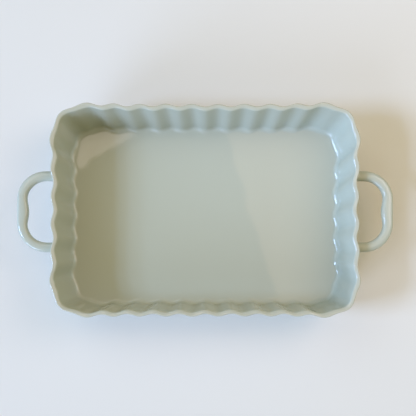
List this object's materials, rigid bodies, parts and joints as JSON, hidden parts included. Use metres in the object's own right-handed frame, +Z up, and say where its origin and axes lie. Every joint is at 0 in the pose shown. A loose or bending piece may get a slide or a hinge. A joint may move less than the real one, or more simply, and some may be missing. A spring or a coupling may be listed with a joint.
{
  "type": "lasagna dish",
  "caption": "Rectangular glazed stoneware lasagna dish with a fluted, slightly flaring wall, rounded rim, bare foot ring and a loop handle on each short side",
  "frame": {"origin": "below the middle of the dish, on the surface that its foot ring stands on", "axes": "+X along the handles, +Y across the dish, +Z up out of the dish"},
  "size_m": [0.4086, 0.2298, 0.067],
  "materials": {
    "stoneware": "fired bare clay, matt",
    "slip": "fired bare clay, matt",
    "glaze": "gloss pale sage glaze"
  },
  "bodies": {
    "root": {"dish_body": "stoneware", "left_handle": "stoneware", "right_handle": "stoneware", "left_handle_slip": "slip", "right_handle_slip": "slip", "inside_glaze": "glaze", "outside_glaze": "glaze", "underside_glaze": "glaze", "left_handle_glaze": "glaze", "right_handle_glaze": "glaze"}
  },
  "joints": []
}
